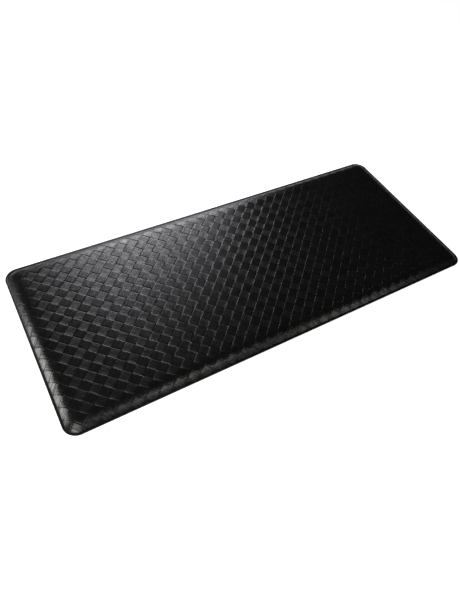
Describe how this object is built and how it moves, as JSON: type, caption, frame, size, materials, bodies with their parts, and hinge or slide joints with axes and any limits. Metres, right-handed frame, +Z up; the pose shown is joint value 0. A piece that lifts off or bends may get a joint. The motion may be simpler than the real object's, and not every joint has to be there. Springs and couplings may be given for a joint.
{
  "type": "anti fatigue mat",
  "caption": "Cushioned rectangular standing mat with rounded corners, a bevelled rim, a basket weave embossed face and a thin welted edge.",
  "frame": {"origin": "middle of the underside, on the floor", "axes": "+X along the mat's length, +Y across its width towards its back edge, +Z up through the standing face"},
  "size_m": [1.219, 0.508, 0.019],
  "materials": {
    "embossed_skin": "satin black polyurethane, embossed as a wide diagonal basket weave with fine grooves along each strip",
    "scrim_cloth": "thin plain woven cloth",
    "gel": "soft translucent gel",
    "foam": "open cell foam",
    "grip_sheet": "matte black grip sheet with a fine dimpled texture",
    "welt": "smooth satin black"
  },
  "bodies": {
    "root": {"top_cover": "embossed_skin", "upper_scrim": "scrim_cloth", "gel_pad": "gel", "lower_scrim": "scrim_cloth", "foam_core": "foam", "base_sheet": "grip_sheet", "edge_band": "welt"}
  },
  "joints": []
}
